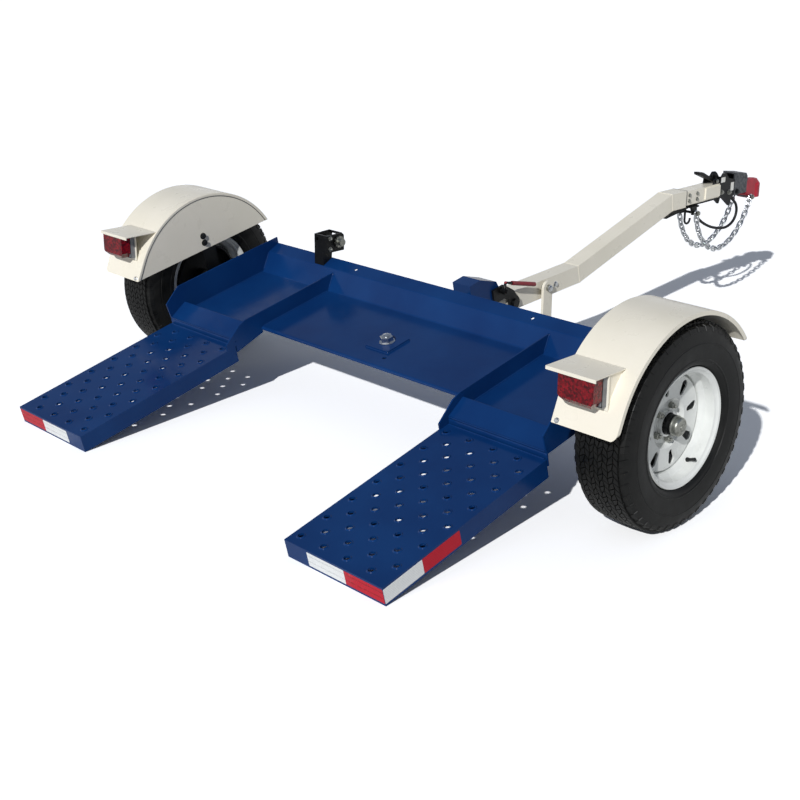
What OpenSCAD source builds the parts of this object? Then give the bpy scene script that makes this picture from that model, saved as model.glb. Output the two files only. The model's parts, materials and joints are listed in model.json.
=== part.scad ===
// Car tow dolly: a tilting and swivelling steel wheel bed with loading ramps on a
// two-wheel axle, and a gooseneck tongue with a ball coupler, safety chains and stand.
// X is across, Y is forward to the coupler, Z is up, and the floor is at Z = 0.
// Lengths are in millimetres and angles in degrees.

/* [Overall] */
// Width across the outside of both fenders
overall_width = 2590; // [2440:10:2800]
// Backward tilt of the axle and bed in the loading position
bed_tilt = 12.3; // [9:0.1:15]
// Distance from the axle forward to the tip of the coupler
coupler_reach = 2490; // [2430:5:2850]

/* [Bed] */
// Width of the bed over its outer guides
bed_width = 1960; // [1800:10:2000]
// Clear width between the two ramps
ramp_gap = 1120; // [960:10:1240]
// Distance of the floor's rear bend behind the axle
floor_rear = 181; // [170:1:210]
// Distance of the wheel stop's base in front of the axle
floor_front = 180; // [160:1:210]
// Thickness of the bent bed plate
bed_plate = 5; // [4:0.5:8]
// Height of the wheel stop's sloping face
stop_height = 73; // [60:1:90]
// Forward run of the wheel stop's sloping face
stop_run = 54; // [30:1:70]
// Forward run of the wheel stop's top lip
lip_run = 57; // [30:1:70]
// Rise of the wheel stop's top lip
lip_rise = 16; // [0:1:30]
// Depth of the lip along the rear of the deck
rear_lip = 11; // [10:1:30]
// Height of the inner wheel guides over the floor
inner_guide = 62; // [40:1:80]
// Height of the outer wheel guides over the floor
outer_guide = 116; // [80:1:140]
// Height of the chock's crest over the floor
chock_height = 42; // [25:1:60]

/* [Ramps] */
// Length of a ramp along its top
ramp_length = 728; // [600:2:900]
// Depth of a ramp's side flanges
ramp_depth = 65; // [45:1:80]
// Thickness of a ramp's top plate
ramp_plate = 5; // [3:0.5:6]
// Diameter of a raised traction hole
grip_hole = 20; // [12:1:26]
// Spacing of the traction holes along a row
grip_pitch = 101; // [80:1:110]
// Spacing of the rows of traction holes
grip_row = 54; // [50:1:80]

/* [Wheels] */
// Outside diameter of a tyre
tyre_diameter = 678; // [620:2:700]
// Width of a tyre over its sidewalls
tyre_width = 205; // [165:1:205]
// Diameter of the rim over its flanges
rim_diameter = 392; // [360:2:400]
// Width of the rim over its flanges
rim_width = 172; // [130:1:176]
// Radius of the axle spindle
spindle_radius = 15; // [12:0.5:18]

/* [Fenders] */
// Width of a fender
fender_width = 231; // [225:1:260]
// Mean clearance from the tyre to the fender's skin
fender_gap = 34.5; // [32:0.5:44]
// Thickness of the fender's sheet
fender_sheet = 2.5; // [1.5:0.5:4]

/* [Tongue] */
// Width and height of the square tongue tube
tongue_tube = 76; // [70:1:80]
// Wall of the tongue tube
tongue_wall = 5; // [3:0.5:8]
// Rise of the tongue's middle length
tongue_rise = 17.2; // [14:0.2:19]
// Radius of the tilt pin
tilt_pin_radius = 12; // [8:0.5:15]

/* [Stand] */
// Width of the stand's flat leg
leg_width = 56; // [40:1:64]
// Thickness of the stand's flat leg
leg_thickness = 12; // [8:1:16]

/* [Hidden] */
$fn = 64;
// Radial clearance of a running fit
fit = 0.05;
// Gap that a turning face keeps from its seat
seat = 0.3;
// Clearance of a moving piece from its neighbour
clear = 6;

wheel_radius = tyre_diameter / 2;
half_width = overall_width / 2;
bed_half = bed_width / 2;
pan_in = ramp_gap / 2;
fender_in = half_width - fender_width;
wheel_x = fender_in + 20 + tyre_width / 2;

// The bed, the axle and the fenders are drawn level about the axle's centre line and
// then turned by the tilt. Their heights are taken from that line.
floor_z = -13;
kingpin_y = -34;
pan_rear = floor_rear + 134;
stop_top = floor_z + stop_height;
lip_y = floor_front + stop_run + lip_run;
lip_z = stop_top + lip_rise;
beam_size = 70;
beam_top = floor_z - bed_plate - seat - 12;
beam_bottom = beam_top - beam_size;
drawbar_front = 556;
drawbar_bottom = beam_top - 50;
ramp_front = pan_rear + bed_plate;
ramp_rear = ramp_front + ramp_length;
ramp_front_z = floor_z - 21;
function rear_z(f) = (ramp_rear * sin(bed_tilt) - wheel_radius - ramp_depth * sin(f) * sin(bed_tilt))
    / cos(bed_tilt) + ramp_depth * cos(f);
function fall(z) = atan((ramp_front_z - z) / ramp_length);
ramp_rear_z = rear_z(fall(rear_z(fall(rear_z(2)))));
ramp_fall = fall(ramp_rear_z);

fender_radius = wheel_radius + fender_gap + fender_sheet;
fender_y = -20;
fender_z = 8;
fender_base = 157;
fender_break = 146;

// Tongue stations in the level frame that starts on the floor below the axle.
pin_y = 626;
pin_z = 352.3;
bend_1_y = 1060;
bend_2_y = coupler_reach - 770;
tongue_slope = 4;
sleeve_y = bend_2_y + 102;
inner_tube = tongue_tube - 2 * tongue_wall - 1;
inner_end = bend_2_y + 390;
bend_1_z = pin_z + (bend_1_y - pin_y) * tan(tongue_slope);
bend_2_z = bend_1_z + (bend_2_y - bend_1_y) * tan(tongue_rise);
nose_y = coupler_reach - 40;
nose_z = bend_2_z - 80;
head_front = nose_y - 100;
head_rear = head_front - 110;
ball_radius = 25.6;
bar_z = bend_2_z - tongue_tube / 2;
bar_plate = 6;
anchor_y = bend_2_y + 188;
anchor_z = bend_2_z - 74.95236;
ring_y = head_front + 22;
ring_z = anchor_z + 8;
lever_y = inner_end - 26;
lever_z = bend_2_z + inner_tube / 2 + 13.5;
stand_y = 824;
stand_z = pin_z + (stand_y - pin_y) * tan(tongue_slope) + 10;
leg_x = tongue_tube / 2 + 14;
ear_in = tongue_tube / 2 + 7;
ear_out = ear_in + 10;

// Origin at the bottom centre of the whole.
rear_y = ramp_rear * cos(bed_tilt) + ramp_rear_z * sin(bed_tilt);
shift_y = -(coupler_reach - rear_y) / 2;

// Pin's place in the tilted frame.
pin_yt = pin_y * cos(bed_tilt) + (pin_z - wheel_radius) * sin(bed_tilt);
pin_zt = -pin_y * sin(bed_tilt) + (pin_z - wheel_radius) * cos(bed_tilt);

// Wire link of the safety chains.
link_wire = 8;
link_inside = 28;
link_gap = 13;
chain_pin = 6;
chain_links = 25;
chain_x = 45;
chain_route = [for (p = [[0, 0], [8, -38], [26, -80], [53, -122], [88, -157],
    [131, -184], [179, -200], [230, -202], [280, -191], [329, -167], [373, -133], [412, -92], [442, -44], [464, 8]]) [anchor_y, anchor_z] + p];

// Wiring cable's own points, from the clip under the tongue to the plug by the coupler.
cable_radius = 6.5;
cable_route = [[10, 1956, 536], [10, 1956, 524], [10, 1958, 510], [10.5, 1963, 496], [11, 1972, 482],
    [11.5, 1986, 467], [12, 2010, 450], [13, 2046, 431], [14, 2090, 413], [15, 2136, 400], [16, 2180, 392],
    [16, 2220, 390], [16, 2256, 397], [16, 2285, 413], [16, 2302, 437], [16, 2306, 464], [16, 2297, 488],
    [16, 2282, 504], [16, 2266, 516], [16, 2258, 522], [16, 2250, 530]];

module place() translate([0, shift_y, 0]) children();
module tilted() translate([0, shift_y, wheel_radius]) rotate([bed_tilt, 0, 0]) children();
module on_side(s) {
    if (s > 0) {
        children();
    } else {
        mirror([1, 0, 0]) children();
    }
}
module along_x(x0, x1) translate([x0, 0, 0]) rotate([90, 0, 90]) linear_extrude(height = x1 - x0) children();
module rod_x(y, z, r, x0, x1) translate([x0, y, z]) rotate([0, 90, 0]) cylinder(r = r, h = x1 - x0);

function unit(v) = v / norm(v);
function side_normal(a, b) = let(u = unit(b - a)) [u[1], -u[0]];
function shifted(p, i, t) = i == 0 ? p[0] + t * side_normal(p[0], p[1])
    : i == len(p) - 1 ? p[i] + t * side_normal(p[i - 1], p[i])
    : let(n1 = side_normal(p[i - 1], p[i]), n2 = side_normal(p[i], p[i + 1])) p[i] + t * (n1 + n2) / (1 + n1 * n2);
function sheet(p, t) = concat(p, [for (i = [len(p) - 1:-1:0]) shifted(p, i, t)]);
function bend(p, i, r, n) = let(a = unit(p[i - 1] - p[i]), b = unit(p[i + 1] - p[i]), h = acos(a * b) / 2,
    c = p[i] + unit(a + b) * r / sin(h), s = p[i] + a * r / tan(h) - c, e = p[i] + b * r / tan(h) - c,
    a0 = atan2(s[1], s[0]), d0 = atan2(e[1], e[0]) - a0, d = d0 > 180 ? d0 - 360 : d0 < -180 ? d0 + 360 : d0)
    [for (k = [0:n]) c + r * [cos(a0 + d * k / n), sin(a0 + d * k / n)]];
function bent(p, r, n) = [for (i = [0:len(p) - 1]) each (i == 0 || i == len(p) - 1 ? [p[i]] : bend(p, i, r, n))];

// Chassis: axle tube, spindle arms, drawbar, turntable, housing and hinge ears.

module axle_beam() color("#1d3f72") tilted() {
    difference() {
        translate([-(fender_in - 34), -beam_size / 2, beam_bottom])
            cube([2 * (fender_in - 34), beam_size, beam_size]);
        translate([-fender_in, -beam_size / 2 + 5, beam_bottom + 5])
            cube([2 * fender_in, beam_size - 10, beam_size - 10]);
    }
    for (s = [-1, 1]) on_side(s) {
        along_x(fender_in - 34, fender_in - 14) difference() {
            union() {
                circle(r = 50);
                polygon([[-50, 0], [50, 0], [50, beam_bottom - 4], [-50, beam_bottom - 4]]);
            }
            circle(r = spindle_radius);
        }
    }
}

module spindles() color("#8b8d8f") tilted() for (s = [-1, 1]) on_side(s) {
    rod_x(0, 0, spindle_radius, fender_in - 34, wheel_x + 48);
    rod_x(0, 0, spindle_radius + 9, fender_in - 14, fender_in + 24);
}

module drawbar() color("#1d3f72") tilted() difference() {
    translate([-ear_in, beam_size / 2, drawbar_bottom]) cube([2 * ear_in, drawbar_front - beam_size / 2, beam_top - drawbar_bottom]);
    translate([5 - ear_in, beam_size / 2 - 1, drawbar_bottom + 5]) cube([2 * ear_in - 10, drawbar_front, beam_top - drawbar_bottom - 10]);
}

module turntable() color("#3b3f45") tilted() difference() {
    translate([0, kingpin_y, beam_top]) cylinder(r = 130, h = 12);
    translate([0, kingpin_y, beam_top - 1]) cylinder(r = 14 + fit, h = 14);
}

module latch_housing() color("#1d3f72") tilted() along_x(-ear_in, ear_in)
    polygon([[385, beam_top], [385, 48], [447, 48], [534, 5], [548, beam_top]]);

lock_y = 549;
lock_z = -38;
lock_x = ear_in + 25;
ear_radius = 30;

module hinge_ears() color("#1b1c1e") tilted() {
    for (s = [-1, 1]) on_side(s) along_x(ear_in, ear_out) difference() {
        union() {
            translate([pin_yt, pin_zt]) circle(r = ear_radius);
            polygon([[500, drawbar_bottom + 3], [500, lock_z + 19], [564, lock_z + 18], [pin_yt + 2, pin_zt + 56],
                [pin_yt + ear_radius, pin_zt], [pin_yt - ear_radius, pin_zt], [pin_yt - ear_radius, pin_zt + 26],
                [drawbar_front, drawbar_bottom + 3]]);
        }
        translate([pin_yt, pin_zt]) circle(r = tilt_pin_radius);
    }
    rod_x(lock_y, lock_z, 7, ear_out - 1, ear_in + 43);
    rod_x(lock_y, lock_z, 11, ear_out - 1, ear_out + 1 + clear - seat);
}

module tilt_pin() color("#3a3b3d") tilted() {
    rod_x(pin_yt, pin_zt, tilt_pin_radius, -ear_out - 3, ear_out + 3);
    for (s = [-1, 1]) on_side(s) rod_x(pin_yt, pin_zt, 17, ear_out, ear_out + 10);
}

// Fenders, their brackets and the tail lamps.

module fender_outline(inset) {
    r = fender_radius - inset;
    intersection() {
        translate([fender_y, fender_z]) union() {
            circle(r = r);
            polygon([[0, 0], [r * cos(fender_break), r * sin(fender_break)],
                [r * cos(fender_break) - 200 * sin(fender_break), r * sin(fender_break) + 200 * cos(fender_break)]]);
        }
        translate([-500, fender_base]) square([1000, 400]);
    }
}

module fender(s) color("#ebe6d6") tilted() on_side(s) difference() {
    union() {
        along_x(fender_in, half_width) difference() {
            fender_outline(0);
            fender_outline(fender_sheet);
        }
        along_x(fender_in, fender_in + fender_sheet) fender_outline(0);
        along_x(half_width - fender_sheet, half_width) difference() {
            fender_outline(0);
            fender_outline(14);
        }
    }
    difference() {
        translate([half_width - 22, -450, fender_base - 1]) cube([23, 900, 23]);
        translate([half_width - 22, -451, fender_base + 22]) rotate([-90, 0, 0]) cylinder(r = 22.5, h = 902);
    }
}

bracket_x = fender_in + fender_sheet;

module fender_brackets() color("#2a2c30") tilted() for (s = [-1, 1]) on_side(s) {
    translate([bracket_x, -32, spindle_radius + 13]) cube([6, 64, fender_base + 74 - spindle_radius - 13]);
    translate([fender_in - 14, -32, spindle_radius + 13]) cube([14 + fender_sheet + 1, 64, 22]);
}

// The lamps stand upright in the world, so they are drawn in the level frame.
lens_in = fender_in + 44;
lens_out = lens_in + 130;
lens_rear = -fender_radius - 58;
lens_front = lens_rear + 42;
lens_top = wheel_radius + 258;
lens_bottom = lens_top - 96;
plate_y = lens_rear + 62;

module lamp_bracket(s) color("#ebe6d6") difference() {
    place() on_side(s) {
        along_x(fender_in + 2, lens_out + 8) polygon([[lens_rear - 2, lens_top - 7], [lens_rear - 5, lens_top - 7],
            [lens_rear - 5, lens_top + 4], [lens_rear + 190, lens_top + 4], [lens_rear + 190, lens_top + 1],
            [lens_rear - 2, lens_top + 1]]);
        along_x(lens_in - 6, lens_out + 6)
            polygon([[plate_y, lens_top + 2], [plate_y + 4, lens_top + 2], [plate_y + 4, lens_bottom - 12],
                [plate_y, lens_bottom - 12]]);
        along_x(lens_out - 2, lens_out + 1)
            polygon([[plate_y + 3, lens_top + 2], [plate_y + 90, lens_top + 2], [plate_y + 3, lens_bottom - 6]]);
    }
    tilted() on_side(s) along_x(fender_in - 5, half_width + 5) fender_outline(-0.1);
}

module lamp_housing(s) color("#9b9ea1") place() on_side(s)
    translate([lens_in, lens_front, lens_bottom]) cube([lens_out - lens_in, plate_y - lens_front, lens_top - lens_bottom]);

module lamp_lens(s) color("#7a0a16") place() on_side(s) intersection() {
    along_x(lens_in + 1, lens_out - 1)
        polygon([[lens_front, lens_top - 1], [lens_rear, lens_top - 1], [lens_rear, lens_bottom + 16],
            [lens_rear + 12, lens_bottom + 3], [lens_front, lens_bottom + 3]]);
    translate([0, lens_front, 0]) rotate([90, 0, 0]) linear_extrude(height = lens_front - lens_rear)
        polygon([[lens_in + 1, lens_top - 1], [lens_out - 1, lens_top - 1], [lens_out - 1, lens_bottom + 22],
            [lens_out - 17, lens_bottom + 3], [lens_in + 19, lens_bottom + 3], [lens_in + 1, lens_bottom + 24]]);
}

// Bed: the bent deck with its wheel stop, guides, chocks, ramps and kingpin.

lip_angle = atan(lip_rise / lip_run);
module on_lip(x) translate([x, lip_y - lip_run / 2, lip_z - lip_rise / 2]) rotate([lip_angle, 0, 0]) children();

stop_path = [[floor_front, floor_z], [floor_front + stop_run, stop_top], [lip_y, lip_z]];

module deck_pan() color("#1d4277") tilted() difference() {
    union() {
        along_x(-pan_in, pan_in)
            polygon(sheet(bent(concat([[-floor_rear, floor_z - rear_lip], [-floor_rear, floor_z]], stop_path), 9, 5), bed_plate));
        for (s = [-1, 1]) on_side(s) {
            along_x(pan_in, bed_half)
                polygon(sheet(bent(concat([[-pan_rear, floor_z - 48], [-pan_rear, floor_z]], stop_path), 9, 5), bed_plate));
            along_x(pan_in, pan_in + bed_plate)
                polygon([[-pan_rear + 2, floor_z - 48], [-pan_rear + 2, floor_z - 4], [-floor_rear + 4, floor_z - 4],
                    [-floor_rear + 4, floor_z - 24]]);
        }
        translate([-58, kingpin_y - 58, floor_z - 1]) cube([116, 116, 9]);
    }
    translate([0, kingpin_y, floor_z - 40]) cylinder(r = 14, h = 60);
    for (x = [-460, 460]) on_lip(x) translate([0, 0, -20]) cylinder(r = 7, h = 40);
    translate([70, -floor_rear + 60, floor_z - 20]) cylinder(r = 8, h = 40);
}

function guide_front(h) = floor_front + stop_run * h / stop_height;

// The fold between the floor and the wheel stop, which the guides' edges follow.
fold = [for (q = bend(concat([[-pan_rear, floor_z]], stop_path), 1, 9, 5)) q + [-0.05, 0.05]];

// Height of the ramp's top at a distance behind its front edge.
function ramp_top(d) = ramp_front_z - d * tan(ramp_fall) + 0.02;

module inner_guide(s) along_x(pan_in, pan_in + bed_plate)
    polygon(concat([[-pan_rear - 45, ramp_top(45 - bed_plate)], [-pan_rear - 45, floor_z],
        [-pan_rear + 34, floor_z + inner_guide - 10], [-pan_rear + 70, floor_z + inner_guide],
        [guide_front(inner_guide), floor_z + inner_guide]],
        reversed(fold), [[-pan_rear, floor_z], [-pan_rear, ramp_top(-bed_plate)]]));

module outer_guide(s) along_x(bed_half - bed_plate, bed_half)
    polygon(concat([[-pan_rear, floor_z], [-pan_rear - 8, floor_z + 65], [-pan_rear + 65, floor_z + outer_guide],
        [lip_y, floor_z + outer_guide], [lip_y, lip_z], [floor_front + stop_run, stop_top]], reversed(fold)));

module guides(s) color("#1d4277") tilted() on_side(s) {
    inner_guide(s);
    outer_guide(s);
}

chock_crest = pan_rear - 82;

module chock(s) color("#173a6e") tilted() on_side(s) along_x(pan_in + bed_plate, bed_half - bed_plate)
    polygon(sheet(bent([[-pan_rear + 1, floor_z + 4.6], [-chock_crest, floor_z + chock_height],
        [-chock_crest + 30, floor_z + 3]], 6, 4), 5));

module ramp(s) color("#15366a") tilted() on_side(s)
    translate([pan_in, -ramp_front, ramp_front_z]) rotate([ramp_fall, 0, 0]) rotate([0, 0, -90]) ramp_body();

ramp_width = bed_half - pan_in;
ramp_run = ramp_length / cos(ramp_fall);

grip_rows = floor((ramp_run - 70) / grip_row) + 1;
grip_first = (ramp_run - (grip_rows - 1) * grip_row) / 2;
grip_count = floor((ramp_width - 16) / grip_pitch);
function rib_at(part) = grip_first + (floor(grip_rows * part) + 0.5) * grip_row - ramp_plate / 2;

module ramp_body() {
    difference() {
        union() {
            translate([0, 0, -ramp_plate]) cube([ramp_run, ramp_width, ramp_plate]);
            translate([0, 0, -ramp_depth]) cube([ramp_run, ramp_plate, ramp_depth]);
            translate([0, ramp_width - ramp_plate, -ramp_depth]) cube([ramp_run, ramp_plate, ramp_depth]);
            translate([ramp_run - ramp_plate, 0, -ramp_depth]) cube([ramp_plate, ramp_width, ramp_depth]);
            translate([0, 0, -ramp_depth]) cube([ramp_plate, ramp_width, ramp_depth]);
            for (part = [0.36, 0.69]) translate([rib_at(part), 0, -38]) cube([ramp_plate, ramp_width, 38]);
            grip_pattern() cylinder(r1 = grip_hole / 2 + 5, r2 = grip_hole / 2 + 2, h = 3);
        }
        grip_pattern() translate([0, 0, -ramp_plate - 2]) cylinder(r = grip_hole / 2, h = ramp_plate + 8);
    }
}

module grip_pattern() for (i = [0:grip_rows - 1]) for (j = [0:grip_count - 1])
    translate([grip_first + i * grip_row,
        ramp_width / 2 + (j - (grip_count - 1) / 2 + (i % 2 == 0 ? -0.25 : 0.25)) * grip_pitch, 0]) children();

module kingpin() color("#c9ccce") tilted() translate([0, kingpin_y, 0]) {
    translate([0, 0, beam_top]) cylinder(r = 14, h = floor_z + 38 - beam_top);
    translate([0, 0, floor_z + 8]) cylinder(r = 30, h = 4);
    translate([0, 0, floor_z + 12]) cylinder(r = 26, h = 21, $fn = 6);
}

// The winch stands upright in the world, on a neck on the wheel stop's lip.
winch_x = -642;
winch_y = 62;
winch_z = 98;
module at_winch() tilted() translate([winch_x, lip_y - lip_run, stop_top]) rotate([-bed_tilt, 0, 0]) children();
neck_rise = tan(lip_angle + bed_tilt);

module winch_bracket() color("#17181a") at_winch() {
    difference() {
        union() {
            along_x(-42, -36) polygon([[3, 3 * neck_rise], [49, 49 * neck_rise], [56, 57], [96, 60], [96, 120], [84, 132], [3, 128]]);
            along_x(30, 36) polygon([[3, 57], [96, 57], [96, 120], [84, 132], [3, 128]]);
            along_x(6, 12) polygon([[3, 3 * neck_rise], [49, 49 * neck_rise], [52, 58], [3, 58]]);
        }
        rod_x(winch_y, winch_z, 10 + fit, -43, 37);
    }
    along_x(-36, 30) polygon([[3, 57], [96, 57], [96, 62], [3, 62]]);
    along_x(-36, 6) polygon([[3, 3 * neck_rise], [9, 9 * neck_rise], [9, 58], [3, 58]]);
    difference() {
        along_x(-36, 30) polygon([[3, 61], [9, 61], [9, 128], [3, 128]]);
        translate([-32, 0, 102]) cube([14, 12, 14]);
    }
    along_x(-36, 30) polygon([[84, 132], [96, 120], [92, 118], [82, 128]]);
}

module winch_spool() color("#8d8a72") at_winch() difference() {
    union() {
        rod_x(winch_y, winch_z, 10, -48, 60);
        rod_x(winch_y, winch_z, 17, -31, 25);
        for (a = [0:30:330]) translate([41, winch_y, winch_z]) rotate([a, 0, 0]) translate([0, -4, 0]) cube([9, 8, 24]);
        rod_x(winch_y, winch_z, 19, 41, 50);
        rod_x(winch_y, winch_z, 15, 50, 66);
    }
    translate([-27, winch_y - 2, winch_z - 30]) cube([48, 4, 60]);
    for (a = [0, 90]) translate([58, winch_y, winch_z]) rotate([a, 0, 0]) cylinder(r = 4, h = 40, center = true);
}

// Wheels.

module tyre_profile() {
    w = tyre_width / 2;
    r = wheel_radius;
    b = rim_diameter / 2 - 17 + seat;
    f = rim_width / 2;
    difference() {
        polygon([[b, -f + 14], [b + 7, -f + 11], [b + 15, -f + 8], [b + 20, -f + 4], [b + 26, -f - 5], [b + 55, -w + 1],
            [b + 80, -w], [r - 38, -w + 5], [r - 14, -w + 16], [r - 5, -w + 28], [r, -w + 44],
            [r, w - 44], [r - 5, w - 28], [r - 14, w - 16], [r - 38, w - 5], [b + 80, w],
            [b + 55, w - 1], [b + 26, f + 5], [b + 20, f - 4], [b + 15, f - 8], [b + 7, f - 11], [b, f - 14],
            [b, f - 26], [r - 34, w - 26], [r - 12, 40], [r - 12, -40], [r - 34, -w + 26], [b, -f + 26]]);
        for (x = [-42, -14, 14, 42]) translate([r - 7, x - 3]) square([10, 6]);
    }
}

module wheel_at(s) tilted() on_side(s) translate([wheel_x, 0, 0]) rotate([0, 90, 0]) children();

module tyre(s) color("#2a2b2d") wheel_at(s) rotate_extrude($fn = 128) tyre_profile();

module rim(s) color("#e9eae8") wheel_at(s) {
    w = rim_width / 2;
    r = rim_diameter / 2;
    difference() {
        union() {
            rotate_extrude($fn = 128) polygon([[r - 2, -w], [r, -w + 3], [r - 3, -w + 6], [r - 11, -w + 9],
                [r - 17, -w + 12], [r - 17, -w + 34], [r - 30, -w + 46], [r - 30, w - 62], [r - 17, w - 46],
                [r - 17, w - 12], [r - 11, w - 9], [r - 3, w - 6], [r, w - 3], [r - 2, w], [r - 8, w - 2],
                [r - 14, w - 8], [r - 20, w - 11], [r - 21, w - 44], [r - 34, w - 60], [r - 34, -w + 48],
                [r - 21, -w + 36], [r - 20, -w + 11], [r - 14, -w + 8], [r - 8, -w + 2]]);
            rotate_extrude($fn = 128) polygon([[36, 4], [70, 4], [84, 20], [r - 44, 20], [r - 34, 6], [r - 34, 12],
                [r - 42, 25], [82, 25], [68, 9], [42, 9], [42, 24], [36, 24]]);
        }
        for (a = [0:45:315]) rotate([0, 0, a]) translate([0, 0, 10]) {
            translate([r - 64, 0, 0]) cylinder(r = 15, h = 30);
            translate([r - 90, 0, 0]) cylinder(r = 10, h = 30);
            rotate([0, 0, 0]) translate([r - 90, 0, 0]) linear_extrude(height = 30)
                polygon([[0, -10], [26, -15], [26, 15], [0, 10]]);
        }
        for (a = [0:72:288]) rotate([0, 0, a]) translate([57.15, 0, -10]) cylinder(r = 7, h = 40);
    }
}

module hub(s) color("#232426") wheel_at(s) difference() {
    union() {
        translate([0, 0, -8]) cylinder(r = 72, h = 11.7);
        translate([0, 0, -8]) cylinder(r = 146, h = 5);
        rotate_extrude() translate([138, -58]) square([8, 52]);
        translate([0, 0, -46]) cylinder(r = 34, h = 50);
        translate([0, 0, 0]) cylinder(r = 33, h = 42);
        translate([0, 0, 42]) cylinder(r = 30, h = 22);
        translate([0, 0, 64]) cylinder(r1 = 30, r2 = 22, h = 8);
    }
    translate([0, 0, -50]) cylinder(r = spindle_radius + fit, h = 99);
}

// Tongue, coupler, chains and wiring.

function tongue_line(off, over = 0) = let(
    u1 = [cos(tongue_slope), sin(tongue_slope)], u2 = [cos(tongue_rise), sin(tongue_rise)],
    n1 = [-sin(tongue_slope), cos(tongue_slope)], n2 = [-sin(tongue_rise), cos(tongue_rise)], n3 = [0, 1])
    [[pin_y, pin_z] + off * n1,
     [bend_1_y, bend_1_z] + off * (n1 + n2) / (1 + n1 * n2),
     [bend_2_y, bend_2_z] + off * (n2 + n3) / (1 + n2 * n3),
     [sleeve_y + 10 + over, bend_2_z] + off * n3];

function reversed(p) = [for (i = [len(p) - 1:-1:0]) p[i]];

module tongue_side(half, over) polygon(concat(tongue_line(half, over), reversed(tongue_line(-half, over)),
    [for (a = [255:-15:105]) [pin_y, pin_z] + half * [cos(a + tongue_slope), sin(a + tongue_slope)]]));

module tongue_beam() color("#e6e1d3") place() {
    difference() {
        along_x(-tongue_tube / 2, tongue_tube / 2) tongue_side(tongue_tube / 2, 0);
        along_x(-tongue_tube / 2 + tongue_wall, tongue_tube / 2 - tongue_wall) tongue_side(tongue_tube / 2 - tongue_wall, 8);
        rod_x(pin_y, pin_z, tilt_pin_radius + fit, -60, 60);
    }
    difference() {
        rod_x(pin_y, pin_z, tilt_pin_radius + 8, -tongue_tube / 2 + tongue_wall, tongue_tube / 2 - tongue_wall);
        rod_x(pin_y, pin_z, tilt_pin_radius + fit, -60, 60);
    }
}

module tongue_inner() color("#ded9cb") place() {
    difference() {
        translate([-inner_tube / 2, bend_2_y + 6, bend_2_z - inner_tube / 2])
            cube([inner_tube, inner_end - bend_2_y - 6, inner_tube]);
        translate([-inner_tube / 2 + 5, bend_2_y, bend_2_z - inner_tube / 2 + 5])
            cube([inner_tube - 10, 500, inner_tube - 10]);
    }
    for (s = [-1, 1]) on_side(s) translate([inner_tube / 2, inner_end - 120, bend_2_z - 26]) cube([6, 120, 52]);
}

module coupler_body() color("#1e2022") place() {
    for (s = [-1, 1]) on_side(s) {
        along_x(inner_tube / 2 - 7, inner_tube / 2)
            polygon([[inner_end, bend_2_z - 30], [inner_end, bend_2_z + 32], [inner_end + 8, bend_2_z + 58],
                [inner_end + 26, bend_2_z + 76], [inner_end + 52, bend_2_z + 74], [inner_end + 74, bend_2_z + 48],
                [head_rear, bend_2_z + 34], [head_rear, bend_2_z - 42], [head_rear - 16, bend_2_z - 44],
                [head_rear - 30, bend_2_z - 86], [head_rear - 40, bend_2_z - 86], [inner_end + 30, bend_2_z - 44]]);
        along_x(24, 30) difference() {
            polygon([[lever_y - 24, bend_2_z + inner_tube / 2], [lever_y - 18, lever_z + 6], [lever_y, lever_z + 14],
                [lever_y + 18, lever_z + 6], [lever_y + 24, bend_2_z + inner_tube / 2]]);
            translate([lever_y, lever_z]) circle(r = 6 + fit);
        }
    }
    translate([-inner_tube / 2 + 6, inner_end, bend_2_z - 30]) cube([inner_tube - 12, head_rear - inner_end, 8]);
    translate([-inner_tube / 2 + 6, inner_end + 30, bend_2_z + 24]) cube([inner_tube - 12, head_rear - inner_end - 30, 6]);
    translate([4, head_rear - 35, bend_2_z - 54]) cube([24, 34, 25]);
    translate([16, head_rear + 10, anchor_z + 18]) rotate([45, 0, 0]) cylinder(r = 9, h = 30);
}

module coupler_head() color("#6d7073") place() {
    difference() {
        along_x(-34, 34) polygon([[head_rear, bend_2_z - 43], [head_rear, bend_2_z + 66], [head_front - 12, bend_2_z + 52],
            [head_front, bend_2_z + 36], [head_front, bend_2_z - 43]]);
        along_x(-26, 26) polygon([[head_rear - 1, bend_2_z - 44], [head_rear - 1, bend_2_z + 59], [head_front - 14, bend_2_z + 45],
            [head_front - 8, bend_2_z + 32], [head_front - 8, bend_2_z - 44]]);
    }
    rod_x(ring_y, ring_z, chain_pin, -56, 56);
}

module coupler_nose() color("#b3262f") place() difference() {
    union() {
        translate([0, nose_y, nose_z]) cylinder(r = 40, h = 64);
        translate([0, nose_y, nose_z + 64]) cylinder(r1 = 40, r2 = 24, h = 22);
        along_x(-34, 34) polygon([[head_front, bend_2_z - 54], [head_front, bend_2_z + 10], [head_front + 46, bend_2_z + 18],
            [nose_y - 10, bend_2_z + 6], [nose_y, bend_2_z - 16], [nose_y, nose_z], [nose_y - 60, nose_z]]);
    }
    translate([0, nose_y, nose_z - 1]) cylinder(r = ball_radius, h = 33);
    translate([0, nose_y, nose_z + 32]) sphere(r = ball_radius);
    rod_x(ring_y, ring_z, chain_pin + fit, -60, 60);
}

module coupler_lever() color("#26282a") place() {
    along_x(-15, 15) polygon([[lever_y - 124, lever_z + 44], [lever_y - 126, lever_z + 56], [lever_y - 94, lever_z + 52],
        [lever_y - 12, lever_z + 14], [lever_y + 8, lever_z], [lever_y - 2, lever_z - 8], [lever_y - 22, lever_z + 4]]);
    rod_x(lever_y, lever_z, 9, -18, 18);
    rod_x(lever_y, lever_z, 6, -34, 34);
}

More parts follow.
